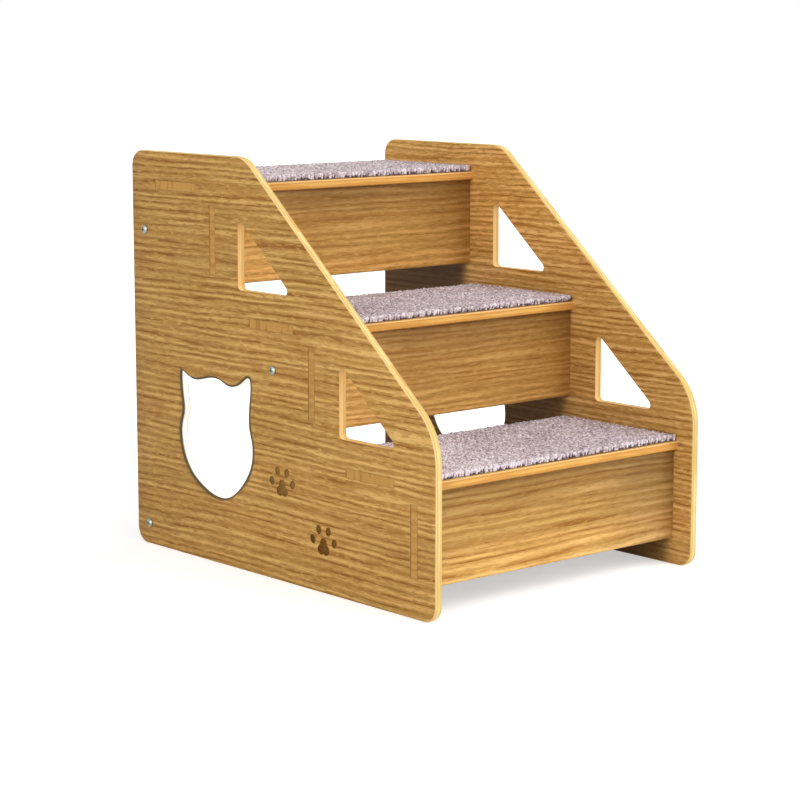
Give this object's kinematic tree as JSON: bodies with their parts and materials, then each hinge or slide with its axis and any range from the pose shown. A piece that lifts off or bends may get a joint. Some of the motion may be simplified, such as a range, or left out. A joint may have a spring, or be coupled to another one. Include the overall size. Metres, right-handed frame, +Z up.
{
  "type": "pet stairs",
  "caption": "Wooden pet stairs with carpeted treads between two side panels that have triangular windows and a cat-head opening.",
  "frame": {"origin": "on the floor, under the middle of the stairs", "axes": "+Z up, -Y towards the climbing side, +X across the stairs to the right of a pet that climbs"},
  "size_m": [0.3048, 0.4, 0.35],
  "materials": {
    "oak_ply": "satin oak veneer",
    "beech_dowel": "sanded",
    "carpet_pile": "loop pile",
    "carpet_backing": "matte",
    "screw_steel": "zinc plated"
  },
  "bodies": {
    "root": {"left_side_panel": "oak_ply", "right_side_panel": "oak_ply", "top_tread": "oak_ply", "top_riser": "oak_ply", "top_carpet": "carpet_pile", "top_carpet_backing": "carpet_backing", "middle_tread": "oak_ply", "middle_riser": "oak_ply", "middle_carpet": "carpet_pile", "middle_carpet_backing": "carpet_backing", "bottom_tread": "oak_ply", "bottom_riser": "oak_ply", "bottom_carpet": "carpet_pile", "bottom_carpet_backing": "carpet_backing", "upper_rear_tie_rod": "beech_dowel", "upper_rear_screws": "screw_steel", "middle_tie_rod": "beech_dowel", "middle_screws": "screw_steel", "lower_rear_tie_rod": "beech_dowel", "lower_rear_screws": "screw_steel"}
  },
  "joints": []
}
